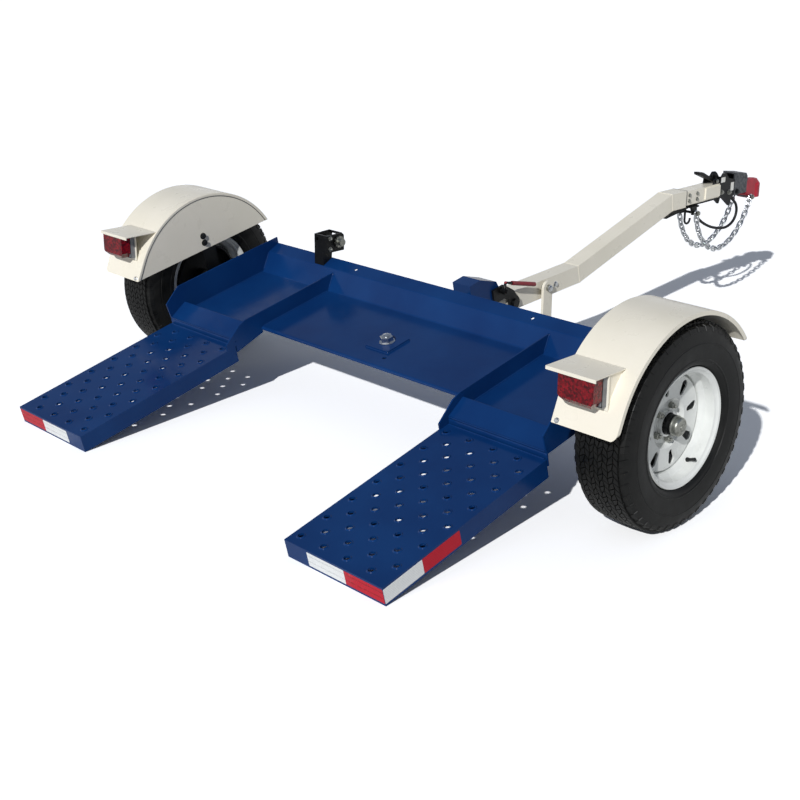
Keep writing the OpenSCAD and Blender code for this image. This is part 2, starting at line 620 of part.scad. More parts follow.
module chain_bar() color("#17181a") place() {
    along_x(-24, 24) polygon(sheet([[anchor_y - 208, bar_z - 29], [anchor_y + 17, bar_z], [inner_end, bar_z]], bar_plate));
    translate([-40, anchor_y - 30, bar_z - 2 * bar_plate]) cube([80, 60, bar_plate + 0.5]);
    for (s = [-1, 1]) on_side(s) along_x(26, 34) polygon([[anchor_y - 24, bar_z - 2 * bar_plate + 1],
        [anchor_y + 24, bar_z - 2 * bar_plate + 1], [anchor_y + 11, anchor_z - 10], [anchor_y - 11, anchor_z - 10]]);
    rod_x(anchor_y, anchor_z, chain_pin, -56, 56);
    translate([0, anchor_y - 22, anchor_z - 34]) cylinder(r = 5, h = bar_z - bar_plate - anchor_z + 34);
    translate([0, anchor_y, anchor_z - 34]) rotate([0, 90, 0]) rotate([0, 0, -90]) rotate_extrude(angle = 180) translate([22, 0]) circle(r = 5);
    translate([10, anchor_y + 48, anchor_z + 24]) cylinder(r = 8, h = bar_z - bar_plate - anchor_z - 23);
}

route_length = [for (i = 0, s = 0; i < len(chain_route); s = s + (i + 1 < len(chain_route)
    ? norm(chain_route[i + 1] - chain_route[i]) : 0), i = i + 1) s];
function route_at(s) = let(k = max([for (i = [0:len(chain_route) - 2]) route_length[i] <= s || i == 0 ? i : 0]),
    t = (s - route_length[k]) / (route_length[k + 1] - route_length[k]))
    chain_route[k] + (chain_route[k + 1] - chain_route[k]) * t;

module chain_link() {
    for (s = [-1, 1]) {
        translate([0, s * (link_gap + link_wire) / 2, 0]) rotate([0, 90, 0])
            cylinder(r = link_wire / 2, h = link_inside - link_gap, center = true, $fn = 24);
        translate([s * (link_inside - link_gap) / 2, 0, 0]) rotate([0, 0, s > 0 ? -90 : 90])
            rotate_extrude(angle = 180, $fn = 24) translate([(link_gap + link_wire) / 2, 0]) circle(r = link_wire / 2, $fn = 24);
    }
}

// Neighbouring links meet at points spaced evenly along the route.
module chain(s) color("#b9bcc0") place() translate([s * chain_x, 0, 0]) {
    over = chain_pin + seat;
    step = (route_length[len(chain_route) - 1] + 2 * over) / chain_links;
    for (i = [0:chain_links - 1])
        let(a = route_at(i * step - over), b = route_at((i + 1) * step - over), c = (a + b) / 2, q = b - a)
            translate([0, c[0], c[1]]) rotate([atan2(q[1], q[0]), 0, 0]) rotate([0, 0, 90]) rotate([i % 2 * 90 + 90, 0, 0])
                chain_link();
}

function tangent(p, i) = unit(p[min(i + 1, len(p) - 1)] - p[max(i - 1, 0)]);
function ring(p, i, r, n) = let(t = tangent(p, i), a = unit(cross(t, [1, 0, 0])), b = cross(t, a))
    [for (k = [0:n - 1]) p[i] + r * (cos(360 * k / n) * a + sin(360 * k / n) * b)];
function smooth_at(p, k, t) = let(n = len(p) - 1, a = p[max(k - 1, 0)], b = p[k], c = p[min(k + 1, n)], d = p[min(k + 2, n)])
    0.5 * (2 * b + (c - a) * t + (2 * a - 5 * b + 4 * c - d) * t * t + (3 * b - a - 3 * c + d) * t * t * t);
function smooth(p, m) = concat([for (k = [0:len(p) - 2]) for (j = [0:m - 1]) smooth_at(p, k, j / m)], [p[len(p) - 1]]);

module wiring_cable() color("#121314") place() {
    p = smooth(cable_route, 3);
    n = 8;
    m = len(p);
    polyhedron(points = [for (i = [0:m - 1]) each ring(p, i, cable_radius, n)],
        faces = concat([[for (k = [0:n - 1]) k]], [[for (k = [n - 1:-1:0]) (m - 1) * n + k]],
            [for (i = [0:m - 2]) for (k = [0:n - 1]) [i * n + k, (i + 1) * n + k, (i + 1) * n + (k + 1) % n, i * n + (k + 1) % n]]));
}

// Stand leg and lock handle.

module stand_leg() color("#e6e1d3") place() {
    difference() {
        union() {
            along_x(leg_x, leg_x + leg_thickness) {
                translate([stand_y, stand_z]) circle(r = leg_width / 2);
                translate([stand_y - leg_width / 2, 6]) square([leg_width, stand_z - 6]);
            }
            translate([leg_x - 6, stand_y - 45, 0]) cube([66, 90, 6]);
        }
        rod_x(stand_y, stand_z, 8 + fit, leg_x - 1, leg_x + leg_thickness + 1);
    }
}

module stand_pin() color("#8b8d8f") place() {
    rod_x(stand_y, stand_z, 8, tongue_tube / 2, leg_x + leg_thickness + 4);
    rod_x(stand_y, stand_z, 14, tongue_tube / 2, leg_x - seat);
    rod_x(stand_y, stand_z, 14, leg_x + leg_thickness + seat, leg_x + leg_thickness + 10);
}

module lock_handle() color("#8f1f2a") tilted() difference() {
    union() {
        rod_x(lock_y, lock_z, 13, ear_out + 1 + clear, ear_in + 34);
        translate([lock_x, lock_y, lock_z]) rotate([-17, 0, 0]) cylinder(r = 5, h = 34);
        translate([lock_x, lock_y + 10, lock_z + 33]) rotate([-115.3, 0, 0]) cylinder(r = 5, h = 184);
        translate([lock_x, lock_y + 46, lock_z + 16]) rotate([-115.3, 0, 0]) cylinder(r = 9, h = 144);
        translate([lock_x, lock_y + 10, lock_z + 33]) sphere(r = 6);
    }
    rod_x(lock_y, lock_z, 7 + fit, ear_in + 5, ear_in + 45);
}

axle_beam();
spindles();
drawbar();
turntable();
latch_housing();
hinge_ears();
tilt_pin();
fender(-1);  // left_fender
fender(1);  // right_fender
fender_brackets();
lamp_bracket(-1);  // left_lamp_bracket
lamp_bracket(1);  // right_lamp_bracket
lamp_housing(-1);  // left_lamp_housing
lamp_housing(1);  // right_lamp_housing
lamp_lens(-1);  // left_lamp_lens
lamp_lens(1);  // right_lamp_lens
deck_pan();
guides(-1);  // left_guides
guides(1);  // right_guides
chock(-1);  // left_chock
chock(1);  // right_chock
ramp(-1);  // left_ramp
ramp(1);  // right_ramp
kingpin();
winch_bracket();
winch_spool();
tyre(-1);  // left_tyre
tyre(1);  // right_tyre
rim(-1);  // left_rim
rim(1);  // right_rim
hub(-1);  // left_hub
hub(1);  // right_hub
tongue_beam();
tongue_inner();
coupler_body();
coupler_head();
coupler_nose();
chain_bar();
chain(-1);  // left_chain
chain(1);  // right_chain
wiring_cable();
coupler_lever();
stand_leg();
stand_pin();
lock_handle();
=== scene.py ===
import bpy, bmesh, json, math
from mathutils import Matrix, Vector


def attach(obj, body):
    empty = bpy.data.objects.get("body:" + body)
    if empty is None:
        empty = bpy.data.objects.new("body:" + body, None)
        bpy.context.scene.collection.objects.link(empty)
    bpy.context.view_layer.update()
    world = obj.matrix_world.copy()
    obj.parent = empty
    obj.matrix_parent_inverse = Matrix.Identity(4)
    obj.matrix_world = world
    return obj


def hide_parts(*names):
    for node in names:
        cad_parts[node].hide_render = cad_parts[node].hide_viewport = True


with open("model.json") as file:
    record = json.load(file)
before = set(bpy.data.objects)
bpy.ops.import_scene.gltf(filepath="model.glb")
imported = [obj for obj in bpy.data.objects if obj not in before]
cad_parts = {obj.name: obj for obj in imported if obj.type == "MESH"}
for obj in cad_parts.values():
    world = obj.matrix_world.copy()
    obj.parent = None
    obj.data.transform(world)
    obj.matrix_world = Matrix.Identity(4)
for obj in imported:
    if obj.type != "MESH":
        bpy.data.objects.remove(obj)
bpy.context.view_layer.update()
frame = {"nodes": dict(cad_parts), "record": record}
nodes = frame["nodes"]
print("frame loaded:", len(nodes), "nodes")

# what part.scad gives, in millimetres and degrees
dolly = {"tilt": 12.3, "wheelRadius": 339.0, "shift": -738.7666, "floorZ": -13.0, "wheelX": 1186.5, "bedHalf": 980.0,
         "panIn": 560.0, "rampFall": 1.5638, "rampFront": 320.0, "rampTop": -34.0, "rampRun": 728.27, "bendZ": 586.952,
         "fenderIn": 1064.0, "halfWidth": 1295.0, "winch": (-642.0, 234.0, 60.0)}
fender = {"y": -20.0, "z": 8.0, "radius": 376.0, "base": 157.0, "break": 146.0}


def levelFrame():
    return Matrix.Scale(0.001, 4) @ Matrix.Translation((0, dolly["shift"], 0))


def levelPoint(x, y, z):
    return levelFrame() @ Vector((x, y, z))


def tiltedFrame(s=1):  # x outwards on side s
    return (levelFrame() @ Matrix.Translation((0, 0, dolly["wheelRadius"]))
            @ Matrix.Rotation(math.radians(dolly["tilt"]), 4, "X") @ Matrix.Diagonal((s, 1, 1, 1)))


def rampFrame(s):  # x outwards from the inner edge, y forward, from the ramp's front edge
    return (tiltedFrame() @ Matrix.Translation((s * dolly["panIn"], -dolly["rampFront"], dolly["rampTop"]))
            @ Matrix.Rotation(math.radians(dolly["rampFall"]), 4, "X") @ Matrix.Diagonal((s, 1, 1, 1)))


def wheelFrame(s):  # z outwards along the spindle
    return tiltedFrame() @ Matrix.Translation((s * dolly["wheelX"], 0, 0)) @ Matrix.Rotation(s * math.pi / 2, 4, "Y")


def winchFrame():
    return tiltedFrame() @ Matrix.Translation(dolly["winch"]) @ Matrix.Rotation(math.radians(-dolly["tilt"]), 4, "X")


def facing(point, direction):  # matrix with z along direction, at a point
    return Matrix.Translation(point) @ Vector(direction).to_track_quat("Z", "Y").to_matrix().to_4x4()


def sideName(s):
    return "left" if s < 0 else "right"


# colours are sRGB hex values, turned to linear here
def linear(hexColour):
    parts = [int(hexColour[i:i + 2], 16) / 255 for i in (1, 3, 5)]
    return tuple(c / 12.92 if c <= 0.04045 else ((c + 0.055) / 1.055) ** 2.4 for c in parts) + (1.0,)


def addNode(tree, kind, settings=None, inputs=None):
    node = tree.nodes.new("ShaderNode" + kind)
    for key, value in (settings or {}).items():
        setattr(node, key, value)
    for key, value in (inputs or {}).items():
        if isinstance(value, bpy.types.NodeSocket):
            tree.links.new(value, node.inputs[key])
        else:
            node.inputs[key].default_value = value
    return node


def perMm(mm):  # texture scale for a feature of this size
    return 1000.0 / mm


def newMaterial(name):
    material = bpy.data.materials.new(name)
    material.use_nodes = True
    tree = material.node_tree
    return material, tree, tree.nodes["Principled BSDF"], addNode(tree, "TexCoord").outputs["Object"]


def mixColour(tree, factor, a, b):
    return addNode(tree, "Mix", {"data_type": "RGBA", "blend_type": "MIX"}, {0: factor, 6: a, 7: b}).outputs[2]


def ramp(tree, factor, stops):
    node = addNode(tree, "ValToRGB", None, {"Fac": factor})
    elements = node.color_ramp.elements
    while len(elements) < len(stops):
        elements.new(0.5)
    for element, (position, colour) in zip(elements, stops):
        element.position = position
        element.color = colour if isinstance(colour, tuple) else (colour, colour, colour, 1)
    return node.outputs["Color"]


def noise(tree, coord, mm, detail=4.0, roughness=0.5):
    inputs = {"Vector": coord, "Scale": perMm(mm), "Detail": detail, "Roughness": roughness}
    return addNode(tree, "TexNoise", None, inputs).outputs["Fac"]


def setBump(tree, shader, height, strength, distance):
    bump = addNode(tree, "Bump", None, {"Height": height, "Strength": strength, "Distance": distance})
    tree.links.new(bump.outputs["Normal"], shader.inputs["Normal"])


def setRoughness(tree, shader, value, low, high):
    limits = {"Value": value, "From Min": 0.3, "From Max": 0.7, "To Min": low, "To Max": high}
    tree.links.new(addNode(tree, "MapRange", None, limits).outputs["Result"], shader.inputs["Roughness"])


def setInputs(shader, values):
    for key, value in values.items():
        shader.inputs[key].default_value = value


# sprayed gloss enamel: sharp highlights over a faint orange peel, thin dust settled on it
def paint(name, look):
    material, tree, shader, coord = newMaterial(name)
    cloud = ramp(tree, noise(tree, coord, look["cloudMm"]), [(0.3, 0.0), (0.7, 1.0)])
    base = mixColour(tree, cloud, linear(look["dark"]), linear(look["light"]))
    edges = [(look["dustFrom"], 0.0), (look["dustFrom"] + 0.14, look["dust"])]
    dust = ramp(tree, noise(tree, coord, look["dustMm"], detail=8.0, roughness=0.7), edges)
    tree.links.new(mixColour(tree, dust, base, linear(look["dustColour"])), shader.inputs["Base Color"])
    sheen = noise(tree, coord, 60, detail=5.0)
    setRoughness(tree, shader, sheen, low=look["roughness"] * 0.8, high=look["roughness"] * 1.3)
    setBump(tree, shader, noise(tree, coord, look["peelMm"], detail=2.0), strength=look["peel"], distance=0.0004)
    setInputs(shader, {"Specular IOR Level": look.get("specular", 0.5), "Coat Weight": look.get("coat", 0.0),
                       "Coat Roughness": 0.06})
    return material


# plated or cast metal: uneven sheen, drawn or sandy grain
def metal(name, look):
    material, tree, shader, coord = newMaterial(name)
    cloud = noise(tree, coord, look["cloudMm"], detail=6.0, roughness=0.65)
    tone = mixColour(tree, ramp(tree, cloud, [(0.35, 0.0), (0.68, 1.0)]), linear(look["light"]), linear(look["dark"]))
    tree.links.new(tone, shader.inputs["Base Color"])
    setRoughness(tree, shader, cloud, low=look["roughness"] * 0.75, high=look["roughness"] * 1.35)
    setInputs(shader, {"Metallic": look["metallic"]})
    setBump(tree, shader, noise(tree, coord, look["grainMm"], detail=3.0), strength=look["grain"], distance=0.0005)
    return material


# moulded rubber: matt black under a grey bloom
def rubber(name, look):
    material, tree, shader, coord = newMaterial(name)
    bloom = noise(tree, coord, look["bloomMm"], detail=7.0, roughness=0.62)
    shade = ramp(tree, bloom, [(0.35, linear(look["dark"])), (0.75, linear(look["dusty"]))])
    tree.links.new(shade, shader.inputs["Base Color"])
    setRoughness(tree, shader, bloom, low=look["roughness"] - 0.1, high=look["roughness"] + 0.08)
    setBump(tree, shader, noise(tree, coord, look["skinMm"], detail=3.0), strength=0.2, distance=0.0004)
    setInputs(shader, {"Specular IOR Level": 0.26})
    return material


# red moulded acrylic: glossy skin over prisms, each prism's red painted darker or lighter to stand for the light it
# catches
def lens(name, look):
    material, tree, shader, coord = newMaterial(name)
    pattern = {"Vector": coord, "Scale": perMm(look["prismMm"]), "Randomness": 0.8}
    prisms = addNode(tree, "TexVoronoi", {"distance": "MANHATTAN"}, pattern)
    tone = addNode(tree, "SeparateColor", None, {0: prisms.outputs["Color"]}).outputs[0]
    # painted light: each prism's red is picked dark, mid or light at random, for the light it catches
    stops = [(0.1, linear(look["dark"])), (0.5, linear(look["mid"])), (0.95, linear(look["light"]))]
    tree.links.new(ramp(tree, tone, stops), shader.inputs["Base Color"])
    setBump(tree, shader, prisms.outputs["Distance"], strength=0.35, distance=0.001)
    setInputs(shader, {"Roughness": 0.22, "Specular IOR Level": 0.25, "Coat Weight": 0.08})
    return material


# prismatic reflective tape: glossy film over a fine hexagonal cell grid
def tape(name, look):
    material, tree, shader, coord = newMaterial(name)
    pattern = {"Vector": coord, "Scale": perMm(look["cellMm"]), "Randomness": 0.2}
    cells = addNode(tree, "TexVoronoi", {"feature": "DISTANCE_TO_EDGE"}, pattern)
    film = ramp(tree, cells.outputs["Distance"], [(0.03, linear(look["seam"])), (0.12, linear(look["film"]))])
    tree.links.new(film, shader.inputs["Base Color"])
    setInputs(shader, {"Roughness": 0.25, "Specular IOR Level": 0.15})
    setBump(tree, shader, cells.outputs["Distance"], strength=0.15, distance=0.0003)
    return material


# bare vinyl label: satin film, slightly yellowed, faint wrinkles
def label(name, look):
    material, tree, shader, coord = newMaterial(name)
    stain = noise(tree, coord, look["stainMm"], detail=5.0)
    shade = ramp(tree, stain, [(0.3, linear(look["light"])), (0.75, linear(look["dark"]))])
    tree.links.new(shade, shader.inputs["Base Color"])
    setRoughness(tree, shader, stain, low=0.32, high=0.5)
    setBump(tree, shader, noise(tree, coord, look["wrinkleMm"], detail=2.0), strength=0.15, distance=0.0004)
    return material


bluePaint = {"dark": "#0a2e62", "light": "#0f3970", "cloudMm": 260, "dustMm": 12, "dustFrom": 0.68, "dust": 0.05,
             "dustColour": "#6f7f96", "roughness": 0.15, "peelMm": 5, "peel": 0.05, "specular": 0.16}
creamPaint = {"dark": "#efe9d8", "light": "#f5efe0", "cloudMm": 180, "dustMm": 60, "dustFrom": 0.6, "dust": 0.03,
              "dustColour": "#b9b09a", "roughness": 0.3, "peelMm": 4, "peel": 0.05, "coat": 0.1}
blackPaint = {"dark": "#08090a", "light": "#0f1113", "cloudMm": 90, "dustMm": 9, "dustFrom": 0.64, "dust": 0.06,
              "dustColour": "#5b554a", "roughness": 0.4, "peelMm": 3, "peel": 0.12, "specular": 0.3}
redPaint = {"dark": "#9c1427", "light": "#bb2036", "cloudMm": 40, "dustMm": 8, "dustFrom": 0.62, "dust": 0.15,
            "dustColour": "#7d2a33", "roughness": 0.36, "peelMm": 3, "peel": 0.1}
gripPlastic = {"dark": "#7d1823", "light": "#94202e", "cloudMm": 30, "dustMm": 6, "dustFrom": 0.64, "dust": 0.12,
               "dustColour": "#5c2a2c", "roughness": 0.42, "peelMm": 2, "peel": 0.15}
rimPaint = {"dark": "#dcdedb", "light": "#e8eae7", "cloudMm": 60, "dustMm": 9, "dustFrom": 0.62, "dust": 0.1,
            "dustColour": "#a19b8d", "roughness": 0.3, "peelMm": 3, "peel": 0.06, "coat": 0.2}
lampPlastic = {"dark": "#6b6d72", "light": "#85878a", "cloudMm": 20, "dustMm": 5, "dustFrom": 0.62, "dust": 0.15,
               "dustColour": "#6b6559", "roughness": 0.45, "peelMm": 1, "peel": 0.1}
zincPlate = {"dark": "#85867f", "light": "#b4b5ae", "cloudMm": 14, "roughness": 0.34, "metallic": 1.0, "grainMm": 0.8,
             "grain": 0.12}
brightPlate = {"dark": "#b4b7ba", "light": "#dcdee0", "cloudMm": 18, "roughness": 0.16, "metallic": 1.0, "grainMm": 0.9,
               "grain": 0.06}
castIron = {"dark": "#46484b", "light": "#6c6f73", "cloudMm": 16, "roughness": 0.5, "metallic": 0.75, "grainMm": 1.4,
            "grain": 0.5}
tyreRubber = {"dark": "#070808", "dusty": "#181817", "bloomMm": 45, "skinMm": 1.5, "roughness": 0.5}
cableRubber = {"dark": "#101113", "dusty": "#202124", "bloomMm": 20, "skinMm": 1.0, "roughness": 0.48}
# prisms drawn about twice real size so that they show; dark, mid and light are the painted brightness of the prisms
lampLens = {"dark": "#450610", "mid": "#630914", "light": "#860f1c", "prismMm": 7}
redTape = {"film": "#c81c32", "seam": "#8e1522", "cellMm": 5}
whiteTape = {"film": "#eef0f0", "seam": "#c9cccd", "cellMm": 5}
bareLabel = {"light": "#f4f4f0", "dark": "#e4e2d9", "stainMm": 25, "wrinkleMm": 9}

materials = {
    "blue_paint": paint("blue gloss enamel", bluePaint), "cream_paint": paint("cream gloss enamel", creamPaint),
    "black_steel": paint("black satin enamel on steel", blackPaint),
    "red_paint": paint("red enamel on casting", redPaint), "red_grip": paint("red dipped vinyl grip", gripPlastic),
    "white_rim": paint("white baked wheel enamel", rimPaint), "lamp_grey": paint("grey moulded lamp base", lampPlastic),
    "zinc": metal("zinc plated steel", zincPlate),
    "plated": metal("bright plated steel", brightPlate), "cast_grey": metal("sand cast iron", castIron),
    "tyre": rubber("moulded tyre rubber", tyreRubber), "cable": rubber("extruded cable jacket", cableRubber),
    "lamp_red": lens("red moulded acrylic", lampLens)}
tapes = {"red": tape("red prismatic tape", redTape), "white": tape("white prismatic tape", whiteTape)}
vinylLabel = label("bare vinyl label", bareLabel)

slotOf = {s["node"]: s["material_slot"] for s in frame["record"]["subparts"]}
for name, node in nodes.items():
    node.data.materials.clear()
    node.data.materials.append(materials[slotOf[name]])
print("finishes:", len(materials) + len(tapes) + 1)


def settle(thing, name, body):  # puts a new piece in the scene, on its body
    piece = bpy.data.objects.new(name, thing)
    bpy.context.scene.collection.objects.link(piece)
    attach(piece, body)
    return piece


def newPiece(bm, name, body, slot, material=None, smoothAngle=35):
    bmesh.ops.remove_doubles(bm, verts=bm.verts, dist=1e-6)
    bmesh.ops.recalc_face_normals(bm, faces=bm.faces)
    mesh = bpy.data.meshes.new(name)
    bm.to_mesh(mesh)
    bm.free()
    mesh.materials.append(material or materials[slot])
    for polygon in mesh.polygons:
        polygon.use_smooth = True
    mesh.set_sharp_from_angle(angle=math.radians(smoothAngle))
    return settle(mesh, name, body)


def lathe(bm, profile, steps=48, closed=True, place=None):  # (radius, height) section spun round Z
    ring = [bm.verts.new((radius, 0, height)) for radius, height in profile]
    edges = [bm.edges.new(pair) for pair in zip(ring, ring[1:])]
    if closed:
        edges.append(bm.edges.new((ring[-1], ring[0])))
    before = set(bm.verts) - set(ring)
    bmesh.ops.spin(bm, geom=ring + edges, cent=(0, 0, 0), axis=(0, 0, 1), angle=2 * math.pi, steps=steps,
                   use_merge=True)
    if place:
        bmesh.ops.transform(bm, matrix=place, verts=[v for v in bm.verts if v not in before])


def hexagon(bm, place, across, low, high, crown):  # nut or bolt head, its top corners turned down by crown
    before = set(bm.verts)
    radius, depth = across * 0.577, high - low - crown
    middle = Matrix.Translation((0, 0, (low + high - crown) / 2))
    head = bmesh.ops.create_cone(bm, cap_ends=True, segments=6, radius1=radius, radius2=radius, depth=depth,
                                 matrix=middle)
    top = max({f for v in head["verts"] for f in v.link_faces}, key=lambda f: f.calc_center_median().z)
    bmesh.ops.inset_region(bm, faces=[top], thickness=crown * 1.6, depth=crown)
    bmesh.ops.transform(bm, matrix=place, verts=[v for v in bm.verts if v not in before])


# washer, head and the rounded end of the shank, z out of the face; widths are parts of the head's
boltLook = {"washer": 0.72, "washerTop": 0.66, "washerHigh": 2.0, "washerEdge": 1.4, "crown": 0.07}


def addBolt(bm, place, look):
    across, high, seat = look["across"], look["high"], boltLook["washerHigh"]
    washer = [(0, 0), (across * boltLook["washer"], 0), (across * boltLook["washer"], boltLook["washerEdge"]),
              (across * boltLook["washerTop"], seat), (0, seat)]
    lathe(bm, washer, steps=24, closed=False, place=place)
    hexagon(bm, place, across, seat, high, across * boltLook["crown"])
    if look.get("shank"):
        r, end = look["shank"], look["end"]
        shank = [(0, high - 0.5), (r, high - 0.5), (r, high + 0.6), (r - 0.7, high + 1.2), (r, high + 1.8),
                 (r, end - 1.4), (r - 1.2, end), (0, end)]
        lathe(bm, shank, steps=16, closed=False, place=place)


def newBolts(name, body, slot, places, look):
    bm = bmesh.new()
    for place in places:
        addBolt(bm, place, look)
    return newPiece(bm, name, body, slot, smoothAngle=30)


def roundedSlab(bm, place, size, radius, thick):  # plate with rounded corners, standing out of its face along z
    flat = bmesh.ops.create_grid(bm, x_segments=1, y_segments=1, size=0.5)["verts"]
    bmesh.ops.scale(bm, verts=flat, vec=(*size, 1))
    cut = bmesh.ops.bevel(bm, geom=flat, offset=radius, segments=3, profile=0.5, affect="VERTICES", material=-1)
    sheet = list({f for v in cut["verts"] for f in v.link_faces})
    top = bmesh.ops.extrude_face_region(bm, geom=sheet)["geom"]
    raised = [g for g in top if isinstance(g, bmesh.types.BMVert)]
    bmesh.ops.translate(bm, verts=raised, vec=(0, 0, thick))
    bmesh.ops.transform(bm, matrix=place, verts=list({v for f in sheet for v in f.verts} | set(raised)))


def ripplePath(path, ripple, closed):  # short steps along a line, for the beads of a hand-run weld
    dense = []
    for a, b in zip(path, path[1:] + path[:1] if closed else path[1:]):
        count = max(1, round((b - a).length * 1000 / ripple))
        dense += [a.lerp(b, k / count) for k in range(count)]
    return dense if closed else dense + [path[-1]]


beadSwell = (0.9, 1.12)


# rods, folds and weld beads: round runs along given lines, in metres
def newRuns(name, body, slot, runs, look):
    ripple, closed = look.get("ripple"), look.get("closed", False)
    curve = bpy.data.curves.new(name, "CURVE")
    curve.dimensions = "3D"
    curve.bevel_depth = look["radius"] / 1000
    curve.bevel_resolution = look.get("sides", 2)
    curve.use_fill_caps = True
    curve.materials.append(materials[slot])
    for points in runs:
        path = [Vector(p) for p in points]
        if ripple:
            path = ripplePath(path, ripple, closed)
        spline = curve.splines.new("POLY")
        spline.points.add(len(path) - 1)
        for k, (point, spot) in enumerate(zip(spline.points, path)):
            point.co = (*spot, 1)
            point.radius = beadSwell[k % 2] if ripple else 1.0
        spline.use_cyclic_u = closed
    return settle(curve, name, body)


weldBead = {"radius": 3.0, "ripple": 5.0, "sides": 1}
thinWeld = {"radius": 2.0, "ripple": 4.0, "sides": 1}

# wiring cable: part.scad's own route, in metres before the shift
cableLook = {"radius": 0.0065, "steps": 4, "route": [
    (0.010, 1.956, 0.536), (0.010, 1.956, 0.524), (0.010, 1.958, 0.510), (0.0105, 1.963, 0.496), (0.011, 1.972, 0.482),
    (0.0115, 1.986, 0.467), (0.012, 2.010, 0.450), (0.013, 2.046, 0.431), (0.014, 2.090, 0.413), (0.015, 2.136, 0.400),
    (0.016, 2.180, 0.392), (0.016, 2.220, 0.390), (0.016, 2.256, 0.397), (0.016, 2.285, 0.413), (0.016, 2.302, 0.437),
    (0.016, 2.306, 0.464), (0.016, 2.297, 0.488), (0.016, 2.282, 0.504), (0.016, 2.266, 0.516), (0.016, 2.258, 0.522),
    (0.016, 2.250, 0.530)]}


def smoothPoint(a, b, c, d, t):  # point between b and c of a Catmull-Rom line
    return 0.5 * (2 * b + (c - a) * t + (2 * a - 5 * b + 4 * c - d) * t * t + (3 * b - a - 3 * c + d) * t * t * t)


def makeCable():
    points = [Vector(p) + Vector((0, dolly["shift"] / 1000, 0)) for p in cableLook["route"]]
    last = len(points) - 1
    path = []
    for k in range(last):
        around = points[max(k - 1, 0)], points[k], points[k + 1], points[min(k + 2, last)]
        path += [smoothPoint(*around, j / cableLook["steps"]) for j in range(cableLook["steps"])]
    path.append(points[last])
    lead = newRuns("wiringLead", "tongue", "cable", [path], {"radius": cableLook["radius"] * 1000, "sides": 4})
    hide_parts("wiring_cable")


makeCable()

# tyre: small zigzag blocks over the crown, lugs on the shoulders, moulded rings on bare sidewalls
tyreLook = {"pitches": 96, "lines": [-76, -59, -41, -23, -7.5, 7.5, 23, 41, 59, 76], "groove": 1.5, "slope": 0.7,
            "depth": 7.0, "stagger": 0.28, "zigzag": 2.2, "zigzagTo": 70, "treadFrom": 318, "blockFrom": 323.5,
            "blockTo": 79, "lug": 2.2, "lugEdge": 1.2, "lugRadii": (304, 327), "lugFrom": 80, "lugFacing": 0.2,
            "side": [(179.3, 72), (186, 75), (194, 78), (200, 82.5), (206, 91.5), (213, 95.5), (217, 96.2),
                     (218.5, 98.6), (222, 98.9), (224, 97.8), (245, 101), (262, 102.4), (272, 102.3), (273, 101.2),
                     (276, 101.0), (277.5, 102), (288, 100.6), (299, 97.8)],
            "shoulder": [(309, 94.5), (322, 88.6)], "crown": 339.0, "drop": 0.00075,
            "inside": [(179.3, 60), (305, 76.5), (323, 40)]}


def angleOf(point):
    return math.atan2(point.y, point.x)


def makeTyre(s):
    look, side = tyreLook, sideName(s)
    crown = [(look["crown"] - look["depth"] - look["drop"] * z * z, z) for z in look["lines"]]
    outer = look["side"] + look["shoulder"]
    section = [(r, -z) for r, z in outer] + crown + [(r, z) for r, z in reversed(outer)]
    section += [(r, z) for r, z in look["inside"]] + [(r, -z) for r, z in reversed(look["inside"])]
    bm = bmesh.new()
    lathe(bm, section, look["pitches"])
    bmesh.ops.remove_doubles(bm, verts=bm.verts, dist=0.001)
    bmesh.ops.recalc_face_normals(bm, faces=bm.faces)
    pitch = 2 * math.pi / look["pitches"]
    for k, z in enumerate(look["lines"]):  # staggers the cross grooves and wavers the long ones
        ring = [v for v in bm.verts if abs(v.co.z - z) < 0.1 and v.co.xy.length > look["treadFrom"]]
        ring.sort(key=lambda v: angleOf(v.co))
        turn = pitch * (look["stagger"] if k % 2 else -look["stagger"])
        bmesh.ops.rotate(bm, verts=ring, cent=(0, 0, 0), matrix=Matrix.Rotation(turn, 3, "Z"))
        if abs(z) < look["zigzagTo"]:
            bmesh.ops.translate(bm, verts=ring[k % 2::2], vec=(0, 0, look["zigzag"]))
            bmesh.ops.translate(bm, verts=ring[1 - k % 2::2], vec=(0, 0, -look["zigzag"]))
    blocks = [f for f in bm.faces if len(f.verts) == 4
              and all(v.co.xy.length > look["blockFrom"] and abs(v.co.z) < look["blockTo"] for v in f.verts)]
    bmesh.ops.inset_individual(bm, faces=blocks, thickness=look["groove"], depth=0)
    bmesh.ops.inset_individual(bm, faces=blocks, thickness=look["slope"], depth=look["depth"])
    low, high = look["lugRadii"]
    middles = [(f, f.calc_center_median()) for f in bm.faces]
    lugs = [(f, middle) for f, middle in middles if low < middle.xy.length < high and abs(middle.z) > look["lugFrom"]
            and abs(f.normal.z) > look["lugFacing"]]
    lugs.sort(key=lambda found: angleOf(found[1]))
    chosen = [f for f, middle in lugs if int((angleOf(middle) + math.pi) / pitch) % 2]
    bmesh.ops.inset_region(bm, faces=chosen, thickness=look["lugEdge"], depth=look["lug"], use_even_offset=True)
    bmesh.ops.transform(bm, matrix=wheelFrame(s), verts=bm.verts)
    tyre = newPiece(bm, side + "Tyre", side + "_wheel", "tyre", smoothAngle=28)
    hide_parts(side + "_tyre")
    print(tyre.name, len(tyre.data.polygons), "faces")


